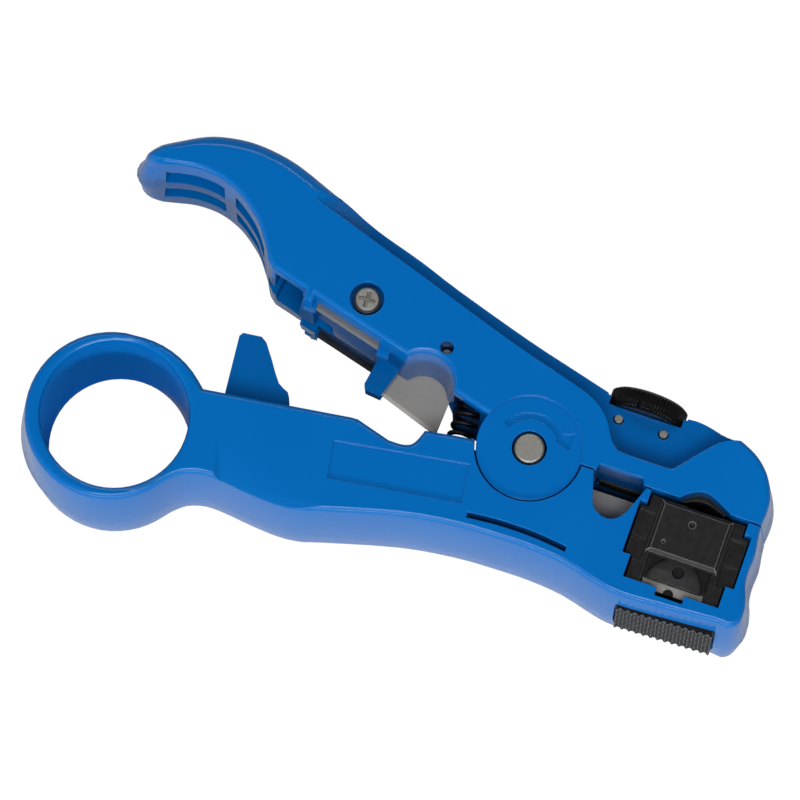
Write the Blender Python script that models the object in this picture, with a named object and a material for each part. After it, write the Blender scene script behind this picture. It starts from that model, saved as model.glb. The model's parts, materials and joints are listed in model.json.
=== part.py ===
"""Cable stripper and cutter with a finger ring.

Two one-piece moulded levers turn on a steel rivet.  The ring lever carries the jaw with the coax blade
cassette, the round-cable blade and the finger ring.  The thumb lever carries the hook, the cable cutter,
the flat-cable blades and the nose with its depth knob.

Frame: +Z is up with the tool lying flat, +X runs along the jaw line to the nose, and +Y points to the
depth knob. Sizes are in millimetres and are measured from the rivet's axis at the back face. The finished
objects are moved so that the origin lies in the middle of the tool's length and width.
"""
import math

import bmesh
import bpy
from mathutils import Matrix, Vector

MM = 0.001

# Whole tool
THICKNESS = 27.0
MID = THICKNESS / 2
DRAFT = 1.2
THROAT_DRAFT = 0.15
EDGE_RADIUS = 1.0
GAP = 0.3
WALL = 2.8

NOSE_END = 44.15
HOOK_TOP = 35.8

# Thumb hook
OUTSIDE_RADIUS = 2.6
TIP_FOCUS = (-74.0, 29.0)
TIP_INSET = 2.3
TIP_DEPTH = 6.0
TIP_DRAFT = 1.6
BELLY_DRAFT = 0.3

# Pivot
DISC_RADIUS = 9.24
KNUCKLE_HALF = 4.5
DISC_DROP = 0.4
RIVET_RADIUS = 2.73
RIVET_DROP = 0.5

# Finger ring
HOLE_CENTRE = (-69.5, -17.9)
HOLE_RADIUS = 12.85
HOLE_TAPER = 0.4
RING_CENTRE = (-70.1, -18.2)
RING_RADIUS = 14.9
SHOULDER_CENTRE = (-68.6, -19.2)
SHOULDER_RADIUS = 15.95

# Steel blades
BLADE_THICKNESS = 0.7
BLADE_SLOT = 0.15

# Cable cutter
CUTTER_ARCH_CENTRE = (-21.1, 4.9)
CUTTER_ARCH_RADIUS = 5.4
SCREW_AT = (-35.1, 15.8)
SCREW_RADIUS = 1.4
SCREW_HEAD_RADIUS = 2.45
SCREW_HEAD_HEIGHT = 1.8
COUNTERBORE_RADIUS = 2.98
COUNTERBORE_DEPTH = 2.7
NUT_RADIUS = 3.1
NUT_HEIGHT = 2.2
NUT_DROP = 0.5
PIN_AT = (-19.2, 12.1)
PIN_RADIUS = 0.95
GUARD_HALF = 3.5
STOP_MOUTH_LOW = 6.0

# Flat-cable blades
FLAT_LEFT = -43.6
FLAT_RIGHT = -30.1
FLAT_REACH = 1.5
FLAT_DEPTH = 2.6
FLAT_FROM_FACE = 3.7
FLAT_BLOCK_WIDTH = 2.2
FLAT_BLOCK_DROP = 2.1
FLAT_BLOCK_HALF = 1.1

# Outer ledge and nose web
WEB_HALF = 3.0
WEB_EDGE_Y = 14.1

# Depth knob and press pad
KNOB_X = 16.5
KNOB_RADIUS = 6.9
KNOB_HEIGHT = 3.6
KNOB_TEETH = 44
KNOB_TOOTH = 0.28
SPINDLE_RADIUS = 1.0
SPINDLE_TIP_Y = 5.0
KNOB_PIN_XS = (12.4, 20.6)
KNOB_PIN_Y = 12.25
KNOB_PIN_RADIUS = 0.78
PAD_LEFT = 12.6
PAD_RIGHT = 20.4
PAD_BOTTOM_Y = 0.95
PAD_TOP_Y = 6.5
PAD_HALF = 1.9
PAD_TRAVEL = 2.5

# Coax cassette
CASSETTE_X = 31.1
CASSETTE_TOP_Y = -0.45
CASSETTE_TOP_HALF = 8.5
CASSETTE_FLANGE_HALF = 9.8
CASSETTE_FLANGE_Y = (-2.7, -11.8)
CASSETTE_EAR_STEPS = ((-3.5, 0.4), (-8.3, 0.8))
CASSETTE_EAR_INNER = 6.9
CASSETTE_FOOT_HALF = 8.3
CASSETTE_FOOT_Y = -15.8
CASSETTE_FLOOR = 5.5
CASSETTE_FACE = THICKNESS - 1.8
COVER_HALF = 6.4
COVER_Y = (-1.1, -10.5)
COVER_FACE = THICKNESS + 0.5
COAX_BLADE_HALF = 5.5
COAX_BLADE_DEPTHS = (CASSETTE_FACE - 3.0, (CASSETTE_FACE + CASSETTE_FLOOR + 1.7) / 2, CASSETTE_FLOOR + 4.7)
DISH_RADIUS = 5.0
DISH_Y = -14.5
DISH_DROP = 0.7
DISH_THICKNESS = 0.9

# Round-cable blade
ROUND_BLADE_X = (10.9, 19.7)
ROUND_BLADE_Y = (-9.6, -0.35)

# Grip pad
GRIP_X = (22.9, 40.2)
GRIP_Y = (-20.45, -19.8)
GRIP_HALF = 5.3
GRIP_DEPTH = 1.6

# Spring between the levers
SPRING_RADIUS = 1.95
SPRING_WIRE = 0.45
SPRING_X = -(DISC_RADIUS + SPRING_RADIUS + SPRING_WIRE + 1.16)
SPRING_Y = (-6.2, 7.6)
SPRING_TURNS = 7

ROUND_STEPS = 48

FRAME_ORIGIN = ((RING_CENTRE[0] - RING_RADIUS + NOSE_END) / 2, (RING_CENTRE[1] - RING_RADIUS + HOOK_TOP) / 2, 0)
FRAME_SHIFT = -Vector(FRAME_ORIGIN) * MM


def arc(centre, radius, start, end, steps):
    """Points on an arc, angles in degrees."""
    points = []
    for i in range(steps + 1):
        a = math.radians(start + (end - start) * i / steps)
        points.append((centre[0] + radius * math.cos(a), centre[1] + radius * math.sin(a)))
    return points


def smooth(points, steps=4):
    """A Catmull-Rom curve through an open row of points."""
    rows = [points[0]] + list(points) + [points[-1]]
    out = []
    for i in range(1, len(rows) - 2):
        p0, p1, p2, p3 = rows[i - 1:i + 3]
        for k in range(steps):
            t = k / steps
            out.append(tuple(
                0.5 * (2 * b + (c - a) * t + (2 * a - 5 * b + 4 * c - d) * t * t
                       + (3 * b - a - 3 * c + d) * t ** 3)
                for a, b, c, d in zip(p0, p1, p2, p3)))
    out.append(tuple(points[-1]))
    return out


def grow(outline, distances):
    """Move each point of a counterclockwise outline outward along its mitre."""
    count = len(outline)
    grown = []
    for i, point in enumerate(outline):
        here = Vector(point)
        before = (here - Vector(outline[i - 1])).normalized()
        after = (Vector(outline[(i + 1) % count]) - here).normalized()
        n1 = Vector((before.y, -before.x))
        n2 = Vector((after.y, -after.x))
        mitre = (n1 + n2) / max(1.0 + n1.dot(n2), 0.35)
        grown.append(tuple(here + mitre * distances[i]))
    return grown


def loft(bm, rings):
    """Skin a stack of equal closed rings and cap both ends."""
    rows = [[bm.verts.new((x * MM, y * MM, z * MM)) for x, y, z in ring] for ring in rings]
    count = len(rows[0])
    for low, high in zip(rows, rows[1:]):
        for i in range(count):
            j = (i + 1) % count
            bm.faces.new((low[i], low[j], high[j], high[i]))
    bm.faces.new(list(reversed(rows[0])))
    bm.faces.new(rows[-1])


def edge_insets(outline, radii):
    """The way from each point of an outline to the flat face, inward along its mitre."""
    return [Vector(inner) - Vector(outer) for outer, inner in zip(outline, grow(outline, [-r for r in radii]))]


def drafted_body(outline, insets, depths, drafts, steps=3):
    """A moulding in two drafted halves that meet at mid thickness, with rounded face edges."""
    rings = []
    for k in range(steps + 1):
        a = math.pi / 2 * k / steps
        share = 1 - math.sin(a)
        rings.append([(x + inset.x * share, y + inset.y * share, depth * (1 - math.cos(a)))
                      for (x, y), inset, depth in zip(outline, insets, depths)])
    middle = grow(outline, drafts)
    upper = [[(x, y, THICKNESS - z) for x, y, z in ring] for ring in reversed(rings)]
    bm = bmesh.new()
    loft(bm, rings + [[(x, y, MID) for x, y in middle]] + upper)
    return bm


def prism(outline, low, high):
    """A flat outline, listed either way round, given a height."""
    area = sum(a[0] * b[1] - b[0] * a[1] for a, b in zip(outline, outline[1:] + outline[:1]))
    if area < 0:
        outline = outline[::-1]
    bm = bmesh.new()
    loft(bm, [[(x, y, low) for x, y in outline], [(x, y, high) for x, y in outline]])
    return bm


def block(x, y, z):
    """A box between pairs of limits."""
    return prism([(x[0], y[0]), (x[1], y[0]), (x[1], y[1]), (x[0], y[1])], z[0], z[1])


def turned(profile, steps=ROUND_STEPS, phase=0.0):
    """A solid of revolution about Z from (radius, height) pairs, bottom to top."""
    rings = []
    for radius, height in profile:
        ring = arc((0, 0), radius, phase, 360 + phase, steps)[:-1]
        rings.append([(x, y, height) for x, y in ring])
    bm = bmesh.new()
    loft(bm, rings)
    return bm


def placed(bm, at, turn=None):
    """Turn a shape, then move it, in millimetres."""
    if turn:
        bmesh.ops.rotate(bm, verts=bm.verts, matrix=turn)
    bmesh.ops.translate(bm, verts=bm.verts, vec=Vector(at) * MM)
    return bm


def rod(at, radius, low, high, steps=ROUND_STEPS):
    """An upright cylinder."""
    return placed(turned([(radius, low), (radius, high)], steps), (at[0], at[1], 0))


TO_Y = Matrix.Rotation(-math.pi / 2, 3, "X")


def cross_rod(x, z, radius, low, high, steps=ROUND_STEPS):
    """A cylinder along Y."""
    return placed(turned([(radius, low), (radius, high)], steps), (x, 0, z), TO_Y)


def joined(*meshes):
    """Several closed shapes that don't touch, in one mesh."""
    whole = bmesh.new()
    for bm in meshes:
        mesh = bpy.data.meshes.new("piece")
        bm.to_mesh(mesh)
        bm.free()
        whole.from_mesh(mesh)
        bpy.data.meshes.remove(mesh)
    return whole


def material(name, colour, roughness, metallic=0.0):
    """A Principled material from an sRGB hex colour."""
    mat = bpy.data.materials.new(name)
    mat.use_nodes = True
    channels = [int(colour[i:i + 2], 16) / 255 for i in (0, 2, 4)]
    linear = [c / 12.92 if c <= 0.04045 else ((c + 0.055) / 1.055) ** 2.4 for c in channels]
    shader = mat.node_tree.nodes["Principled BSDF"]
    shader.inputs["Base Color"].default_value = (*linear, 1)
    shader.inputs["Roughness"].default_value = roughness
    shader.inputs["Metallic"].default_value = metallic
    return mat


def new_object(name, bm, collection, origin=(0, 0, 0)):
    """An object whose mesh is given in world millimetres and whose origin is set."""
    bmesh.ops.translate(bm, verts=bm.verts, vec=-Vector(origin) * MM)
    mesh = bpy.data.meshes.new(name)
    bm.to_mesh(mesh)
    bm.free()
    obj = bpy.data.objects.new(name, mesh)
    obj.location = Vector(origin) * MM + FRAME_SHIFT
    collection.objects.link(obj)
    return obj


def part(name, bm, finish, parent=None, origin=(0, 0, 0)):
    """A visible sub-part with its own material."""
    obj = new_object(name, bm, parts, origin)
    obj.data.materials.append(finish)
    obj.data.shade_smooth()
    obj.data.set_sharp_from_angle(angle=math.radians(30))
    if parent:
        hang(obj, parent)
    return obj


def hang(child, parent):
    """Parent one object to another and keep its place. Both are still where they were made."""
    place = child.location - parent.location
    if parent.parent:
        place -= parent.parent.location
    child.parent = parent
    child.location = place


def boolean(obj, name, bm, operation="DIFFERENCE"):
    """Cut a shape out of a part, or join it on."""
    tool = new_object(obj.name + "_" + name, bm, cutters)
    tool.hide_render = True
    tool.display_type = "WIRE"
    modifier = obj.modifiers.new(name, "BOOLEAN")
    modifier.operation = operation
    modifier.solver = "EXACT"
    modifier.object = tool
    return modifier


def pivot_empty(name, at):
    """The empty that a moving group hangs on."""
    empty = bpy.data.objects.new(name, None)
    empty.location = Vector(at) * MM + FRAME_SHIFT
    empty.empty_display_size = 0.01
    parts.objects.link(empty)
    return empty


def mirrored_z(low, high):
    """A height range and its mirror image in the mid plane."""
    return (low, high), (THICKNESS - high, THICKNESS - low)


def ring_lever_outline():
    """The ring lever's face outline, counterclockwise from the shoulder of the ring."""
    shoulder = arc(SHOULDER_CENTRE, SHOULDER_RADIUS, 42, 92, 8)
    ring = arc(RING_CENTRE, RING_RADIUS, 100, 318, 34)
    belly = smooth([
        (-57.1, -25.8), (-54.9, -23.9), (-51.8, -22.9), (-48.3, -22.9), (-43.0, -23.5), (-38.0, -23.8),
        (-34.0, -23.4), (-30.0, -22.2), (-17.3, -18.7), (-7.7, -17.2), (0.0, -16.8), (6.5, -16.8),
        (12.6, -17.4), (19.0, -19.0), (23.0, -19.5), (30.0, -19.2), (40.3, -18.5)], 3)
    corner = arc((NOSE_END - 2.6, -16.2), 2.6, -75, 0, 4)
    nose = smooth([(44.05, -14.4), (43.6, -12.6), (42.9, -10.7), (42.6, -8.2), (42.75, -5.0), (42.3, -1.8),
                   (42.0, 2.0)], 3)
    throat = [(-9.4, 2.0), (-9.5, -1.6), (-12.1, -1.9), (-18.0, -2.9)]
    notch = smooth([(-18.6, -4.6), (-19.4, -5.9), (-21.0, -6.5), (-23.4, -6.55)], 3)
    top = [(-29.6, -4.8), (-30.8, -4.85), (-41.6, -6.4)]
    return shoulder + ring + belly + corner + nose + throat + notch + top


def add_ring_lever(finish):
    """The moulded lever with the finger ring, the lower jaw and the pivot knuckle."""
    outline = ring_lever_outline()
    radii = [EDGE_RADIUS] * len(outline)
    drafts = [THROAT_DRAFT if -20.0 < x < -11.0 and y > -6.0 else DRAFT for x, y in outline]
    body = drafted_body(outline, edge_insets(outline, radii), radii, drafts)
    lever = part("ring_lever", body, finish)

    flare = [(2.0, -1), (EDGE_RADIUS, 0), (EDGE_RADIUS * 0.29, EDGE_RADIUS * 0.29), (0.0, EDGE_RADIUS)]
    hole = [(HOLE_RADIUS - HOLE_TAPER + out, z) for out, z in flare]
    hole += [(HOLE_RADIUS + out, THICKNESS - z) for out, z in reversed(flare)]
    boolean(lever, "finger_hole", placed(turned(hole, 56), (*HOLE_CENTRE, 0)))

    boolean(lever, "jaw_line", block((8.0, 48.0), (-GAP / 2, 6.0), (-1, THICKNESS + 1)))
    disc_room = DISC_RADIUS + GAP
    boolean(lever, "disc_rooms", joined(
        rod((0, 0), disc_room, MID + KNUCKLE_HALF, THICKNESS + 1),
        rod((0, 0), disc_room, -1, MID - KNUCKLE_HALF)))
    boolean(lever, "throat_top", block((-14.0, 9.3), (-1.5, 4.0), (-1, THICKNESS + 1)))

    channel = smooth([(-55.0, -3.0), (-55.2, -13.0), (-51.5, -18.6), (-44.5, -20.4), (-35.0, -20.4),
                      (-27.0, -18.3), (-18.4, -15.9)], 3) + [(-18.4, -3.0)]
    boolean(lever, "channel", prism(channel, WALL, THICKNESS - WALL))
    boolean(lever, "cutter_slot", block((-31.5, -15.3), (-8.6, 2.0), (MID - 1.1, MID + 1.1)))
    reach = SPRING_RADIUS + SPRING_WIRE + GAP
    boolean(lever, "spring_room", block((SPRING_X - reach, SPRING_X + reach), (SPRING_Y[0] - GAP, 2.0),
                                        (MID - reach - 1, MID + reach + 1)))

    knuckle = rod((0, 0), DISC_RADIUS, MID - KNUCKLE_HALF, MID + KNUCKLE_HALF)
    boolean(lever, "knuckle", knuckle, "UNION")
    boolean(lever, "rivet_hole", rod((0, 0), RIVET_RADIUS + GAP, -1, THICKNESS + 1))

    stop = smooth([(-42.8, -3.4), (-43.6, -1.9), (-45.6, -0.9), (-48.1, 2.6), (-50.1, 5.3)], 2)
    stop += [(-51.2, 6.0), (-54.5, 5.6), (-54.95, 4.9), (-53.9, -5.5), (-53.6, -18.0), (-42.6, -21.2)]
    boolean(lever, "stop_tab", prism(stop, MID - 2.0, MID + 2.0), "UNION")
    return lever


def add_round_cable_blade(lever, steel):
    """The blade under the U-shaped window for round cables."""
    window = smooth([(11.5, 0.8), (13.2, -5.0), (14.0, -6.4), (15.5, -7.3), (17.3, -7.3), (18.9, -6.1),
                     (20.0, -3.8), (21.7, 0.8)], 3)
    boolean(lever, "cable_window", prism(window, -1, THICKNESS + 1))
    half = BLADE_THICKNESS / 2
    left, right = ROUND_BLADE_X
    low, top = ROUND_BLADE_Y
    boolean(lever, "round_blade_slot", block(
        (left - BLADE_SLOT, right + BLADE_SLOT), (low - BLADE_SLOT, 1.0),
        (MID - half - BLADE_SLOT, MID + half + BLADE_SLOT)))
    face = [(left, low), (right, low), (right, top - 1.6), (left, top - 1.6)]
    edge = [(left, low), (right, low), (right, top), (left, top)]
    return part("round_cable_blade", blade(face, edge, MID, BLADE_THICKNESS), steel)


def blade(face, edge, middle, thickness):
    """A ground blade: its faces stop short of the cutting edge, which lies at mid thickness."""
    half = thickness / 2
    bm = bmesh.new()
    loft(bm, [[(x, y, middle - half) for x, y in face],
              [(x, y, middle) for x, y in edge],
              [(x, y, middle + half) for x, y in face]])
    return bm


def cassette_outline(clearance=0.0):
    """The plus-shaped plan of the cassette, counterclockwise."""
    top, foot = CASSETTE_TOP_HALF + clearance, CASSETTE_FOOT_HALF + clearance
    flange = CASSETTE_FLANGE_HALF + clearance
    y0 = CASSETTE_FOOT_Y - clearance
    y1, y2 = CASSETTE_FLANGE_Y[1] - clearance, CASSETTE_FLANGE_Y[0] + clearance
    y3 = CASSETTE_TOP_Y + clearance * 4
    right = [(foot, y0), (foot, y1), (flange, y1), (flange, y2), (top, y2), (top, y3)]
    left = [(-x, y) for x, y in reversed(right)]
    return [(CASSETTE_X + x, y) for x, y in right + left]


def add_cassette(lever, plastic, grey, steel):
    """The lift-out coax blade cassette in the nose of the ring lever."""
    boolean(lever, "cassette_pocket", prism(cassette_outline(GAP), CASSETTE_FLOOR, THICKNESS + 1))
    boolean(lever, "release_notch", block((28.6, 33.6), (-17.5, -15.9), (20.0, THICKNESS + 1)))

    carrier = pivot_empty("cassette_slide", (CASSETTE_X, -8.0, CASSETTE_FLOOR))
    body = part("cassette_body", prism(cassette_outline(), CASSETTE_FLOOR + GAP, CASSETTE_FACE),
                plastic, carrier)
    window = (CASSETTE_X - COAX_BLADE_HALF - BLADE_SLOT, CASSETTE_X + COAX_BLADE_HALF + BLADE_SLOT)
    dish_top = CASSETTE_FACE - DISH_DROP
    dish_low = dish_top - DISH_THICKNESS
    above = THICKNESS + 1
    boolean(body, "dish_room", block(window, (-17.0, DISH_Y + DISH_RADIUS + GAP), (dish_low - GAP, above)))
    boolean(body, "blade_end_room", block(window, (-17.0, DISH_Y + GAP), (COAX_BLADE_DEPTHS[0], above)))
    for side in (-1, 1):
        ear = sorted((CASSETTE_X + side * CASSETTE_EAR_INNER, CASSETTE_X + side * (CASSETTE_FLANGE_HALF + 1)))
        for i, (y, drop) in enumerate(CASSETTE_EAR_STEPS):
            low = CASSETTE_FLANGE_Y[1] - GAP if i else CASSETTE_EAR_STEPS[1][0]
            boolean(body, "ear_step_%d_%d" % (i, side + 1), block(ear, (low, y), (CASSETTE_FACE - drop, above)))
    boolean(body, "cable_groove", cross_z_arch(CASSETTE_X + 0.9, CASSETTE_TOP_Y + 0.2, 3.4, 1.6))
    half = BLADE_THICKNESS / 2
    for i, depth in enumerate(COAX_BLADE_DEPTHS):
        slot = (depth - half - BLADE_SLOT, depth + half + BLADE_SLOT)
        boolean(body, "blade_slot_%d" % i, block(window, (-17.0, 1.0), slot))

    cover = (CASSETTE_X - COVER_HALF, CASSETTE_X + COVER_HALF)
    chamfer = 0.6
    face = [(cover[0] + chamfer, COVER_Y[1] + chamfer), (cover[1] - chamfer, COVER_Y[1] + chamfer),
            (cover[1] - chamfer, COVER_Y[0] - chamfer), (cover[0] + chamfer, COVER_Y[0] - chamfer)]
    foot = [(cover[0], COVER_Y[1]), (cover[1], COVER_Y[1]), (cover[1], COVER_Y[0]), (cover[0], COVER_Y[0])]
    bm = bmesh.new()
    loft(bm, [[(x, y, CASSETTE_FACE + GAP) for x, y in foot],
              [(x, y, COVER_FACE - chamfer) for x, y in foot], [(x, y, COVER_FACE) for x, y in face]])
    part("cassette_cover", bm, plastic, carrier)

    dish = arc((CASSETTE_X - 0.15, DISH_Y), DISH_RADIUS, 0, 180, 18)
    plate = part("blade_clamp_plate", prism(dish, dish_low, dish_top), grey, carrier)
    boolean(plate, "clamp_hole", rod((CASSETTE_X + 0.1, -12.05), 1.15, dish_low - 1, dish_top + 1, 16))

    for i, depth in enumerate(COAX_BLADE_DEPTHS):
        names = ("front", "middle", "rear")
        low, top = -15.9, CASSETTE_TOP_Y - 0.1
        left, right = CASSETTE_X - COAX_BLADE_HALF, CASSETTE_X + COAX_BLADE_HALF
        face_out = [(left, low), (right, low), (right, top - 1.2), (left, top - 1.2)]
        edge_out = [(left, low), (right, low), (right, top), (left, top)]
        coax_blade = part("coax_blade_" + names[i], blade(face_out, edge_out, depth, BLADE_THICKNESS), steel, carrier)
        boolean(coax_blade, "locating_notch", rod((CASSETTE_X - 0.45, low + 0.15), 0.9, depth - 1, depth + 1, 16))


def cross_z_arch(x, y, half_width, height):
    """A shallow arch-shaped cutter that runs through the thickness."""
    top = smooth([(x + half_width, y), (x + half_width * 0.55, y - height * 0.75), (x, y - height),
                  (x - half_width * 0.55, y - height * 0.75), (x - half_width, y)], 3)
    return prism(top, -2, THICKNESS + 2)


def add_grip_pad(lever, plastic):
    """The knurled pad set in the underside of the nose."""
    left, right = GRIP_X
    outer = [(left, GRIP_Y[0]), (right, GRIP_Y[1])]
    inner = [(x, y + GRIP_DEPTH) for x, y in reversed(outer)]
    room = [(left - GAP, GRIP_Y[0] - 3), (right + GAP, GRIP_Y[1] - 3)]
    room += [(right + GAP, inner[0][1] + GAP), (left - GAP, inner[1][1] + GAP)]
    boolean(lever, "grip_room", prism(room, MID - GRIP_HALF - GAP, MID + GRIP_HALF + GAP))
    part("grip_pad", prism(outer + inner, MID - GRIP_HALF, MID + GRIP_HALF), plastic)


def add_face_details(lever):
    """The bare recessed panel, the long slit and the scooped facet on the ring lever's faces."""
    panel = [(-31.1, -16.5), (-7.9, -13.1), (-8.8, -6.2), (-32.3, -9.9)]
    boolean(lever, "panel", prism(panel, THICKNESS - 0.3, THICKNESS + 1))
    middle = smooth([(-6.3, -14.75), (-1.5, -14.3), (3.2, -14.2), (7.5, -14.4), (11.7, -14.9)], 2)
    slit = [(x, y - 0.5) for x, y in middle] + [(x, y + 0.5) for x, y in reversed(middle)]
    boolean(lever, "slit", prism(slit, THICKNESS - 4.0, THICKNESS + 1))
    crease = [(-51.8, -15.1), (-30.4, -21.4)]
    bm = bmesh.new()
    for x, y in crease + [(-47.8, -30.0), (-27.0, -30.0)]:
        bm.verts.new((x * MM, y * MM, (THICKNESS + 1) * MM))
    for x, y, z in ((*crease[0], THICKNESS), (*crease[1], THICKNESS), (-47.8, -30.0, THICKNESS),
                    (-45.4, -30.0, THICKNESS - 1.8), (-27.0, -30.0, THICKNESS)):
        bm.verts.new((x * MM, y * MM, z * MM))
    bmesh.ops.convex_hull(bm, input=bm.verts)
    boolean(lever, "scoop", bm)


def thumb_lever_outline():
    """The thumb lever's face outline, counterclockwise from the jaw line at the nose."""
    nose = smooth([(41.8, -2.0), (42.2, 1.5), (42.2, 4.3), (41.5, 6.7), (40.0, 9.3), (37.8, 11.4),
                   (35.2, 12.8), (31.9, 14.0), (27.9, 15.1), (25.1, 15.4), (22.5, 15.0)], 3)
    back = smooth([(9.0, 15.3), (2.5, 17.0), (-7.3, 19.6), (-21.6, 24.0), (-29.3, 26.7), (-37.6, 29.2),
                   (-45.9, 31.8), (-50.6, 33.3), (-55.2, 34.8), (-59.5, HOOK_TOP - 0.2), (-63.6, HOOK_TOP),
                   (-67.5, 35.3), (-71.2, 34.3), (-74.7, 32.85), (-76.9, 31.8), (-78.6, 30.75)], 3)
    tip = smooth([(-79.6, 29.6), (-80.3, 28.5), (-80.25, 27.6), (-79.5, 27.0), (-78.2, 26.9), (-76.6, 27.2)], 2)
    belly = smooth([(-74.1, 27.7), (-71.2, 28.2), (-68.0, 28.2), (-65.2, 27.6), (-62.4, 26.4),
                    (-59.9, 24.7), (-57.7, 22.8), (-56.0, 20.6), (-54.6, 18.6), (-53.7, 16.9),
                    (-52.3, 15.7)], 3)
    post = [(-45.8, 14.0), (-45.6, 12.3), (-43.9, 11.9), (-43.7, 13.4)]
    arch = arc(CUTTER_ARCH_CENTRE, CUTTER_ARCH_RADIUS, 138, 8, 10)
    return nose + back + tip + belly + post + arch + [(-15.3, 5.1), (-8.6, 3.3), (9.2, -2.0)]


def eased(value):
    """0 to 1 with a soft start and end."""
    t = min(max(value, 0.0), 1.0)
    return t * t * (3 - 2 * t)


def thumb_lever_body(outline):
    """The thumb lever's body. Its edge is rounder along the outside of the hook and domed round the tip."""
    radii = []
    domed = []
    drafts = []
    for x, y in outline:
        outside = x < -44 and y > 28.4
        radii.append(OUTSIDE_RADIUS if outside else EDGE_RADIUS * 0.9)
        domed.append(eased((-69.0 - x) / 9) if outside else eased((-75.5 - x) / 4))
        inside = x < -50 and y < 28.4
        hollow = eased((-50.5 - x) / 3) if inside else 0.0
        plain = DRAFT + (BELLY_DRAFT - DRAFT) * hollow
        if -17.0 < x < -14.0 and y < 6.0:
            plain = THROAT_DRAFT
        drafts.append(plain + (TIP_DRAFT - plain) * domed[-1])
    insets = []
    depths = []
    for point, inset, radius, share in zip(outline, edge_insets(outline, radii), radii, domed):
        to_focus = (Vector(TIP_FOCUS) - Vector(point)).normalized() * TIP_INSET
        insets.append(inset.lerp(to_focus, share))
        depths.append(radius + (TIP_DEPTH - radius) * share)
    return drafted_body(outline, insets, depths, drafts, 5)


def ledge_cutter(front):
    """The room above the outer ledge and the knob's web. Its floor sinks out of the hook's rounded edge."""
    ramp = [(-50.4, 30.2, 13.6), (-48.0, 29.4, 13.2), (-45.6, 28.65, 11.6), (-43.2, 27.9, 8.4),
            (-40.8, 27.1, 5.2), (-38.4, 26.3, 3.5)]
    step = smooth([(-36.2, 25.6), (-27.2, 22.7), (-9.5, 16.9), (3.3, 13.3), (7.6, 11.8), (9.9, 10.2),
                   (11.6, 8.2), (13.2, 5.7)], 3)
    recess = smooth([(14.5, 4.7), (16.1, 4.5), (23.2, 4.5), (24.8, 5.0), (26.7, 7.3), (28.7, 9.7),
                     (30.2, 11.3)], 3)
    fade = [(31.4, 12.1, 4.5), (32.6, 12.7, 7.0), (33.8, 13.1, 9.6), (35.0, 13.6, 12.2), (35.6, 14.2, MID + 0.2)]
    path = ramp + [(x, y, WEB_HALF) for x, y in step + recess] + fade
    rings = []
    for x, y, half in path:
        low, high = (MID + half, THICKNESS + 1) if front else (-1, MID - half)
        rings.append([(x, y, low), (x, 36.0, low), (x, 36.0, high), (x, y, high)])
    bm = bmesh.new()
    loft(bm, rings)
    return bm


def add_thumb_lever(finish, carrier):
    """The moulded lever with the hook, the upper jaw and the two pivot discs."""
    outline = thumb_lever_outline()
    lever = part("thumb_lever", thumb_lever_body(outline), finish, carrier)
    boolean(lever, "jaw_line", block((-8.0, 48.0), (-8.0, GAP / 2), (-1, THICKNESS + 1)))

    front = (THICKNESS - DISC_DROP, THICKNESS + 1)
    for name, low, high in (("front", front[0], front[1]), ("rear", -1, DISC_DROP)):
        boolean(lever, name + "_disc_face", rod((0, 0), DISC_RADIUS, low, high))
    split = KNUCKLE_HALF + GAP
    for name, low, high in (("front", MID + split, THICKNESS - DISC_DROP), ("rear", DISC_DROP, MID - split)):
        boolean(lever, name + "_disc", rod((0, 0), DISC_RADIUS, low, high), "UNION")
    boolean(lever, "knuckle_room", rod((0, 0), DISC_RADIUS + GAP, MID - split, MID + split))
    boolean(lever, "rivet_hole", rod((0, 0), RIVET_RADIUS + GAP, -1, THICKNESS + 1))

    boolean(lever, "front_step", ledge_cutter(True))
    boolean(lever, "rear_step", ledge_cutter(False))
    boolean(lever, "knob_room", block((KNOB_X - 7.3, KNOB_X + 7.3), (WEB_EDGE_Y, 24.0), (-1, THICKNESS + 1)))

    tip_core = smooth([(-76.3, 29.4), (-72.0, 31.2), (-68.5, 32.1), (-65.6, 32.6)], 2)
    root_core = smooth([(-63.2, 32.8), (-59.5, 32.3), (-56.4, 30.5), (-54.9, 26.0), (-54.6, 20.0)], 2)
    cores = []
    for low, high in mirrored_z(MID + 1.7, MID + 8.0):
        cores.append(prism(tip_core + [(-65.6, 24.0), (-76.3, 24.0)], low, high))
        cores.append(prism(root_core + [(-63.2, 16.0)], low, high))
    boolean(lever, "hook_cores", joined(*cores))
    boolean(lever, "stop_room", prism([
        (-54.6, 8.0), (-39.6, 8.0), (-40.2, 14.4), (-42.5, 19.2), (-43.4, 24.9), (-49.8, 27.0),
        (-51.8, 22.0), (-53.4, 17.0)], MID - 2.9, MID + 2.9))
    boolean(lever, "stop_mouth", prism([
        (-52.8, 8.0), (-46.2, 8.0), (-46.2, 20.4), (-50.2, 22.2), (-51.4, 19.0)], STOP_MOUTH_LOW, THICKNESS - WALL))
    return lever


def add_turn_arrow(lever):
    """The arrow that is sunk into the front disc, round the rivet."""
    band = arc((0, 0), 6.25, 152, 42, 14) + [(6.6, 4.8), (6.5, 1.9), (3.8, 2.75)] + arc((0, 0), 5.15, 36, 152, 14)
    face = THICKNESS - DISC_DROP
    boolean(lever, "arrow", prism(band, face - 0.25, face + 1))


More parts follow.
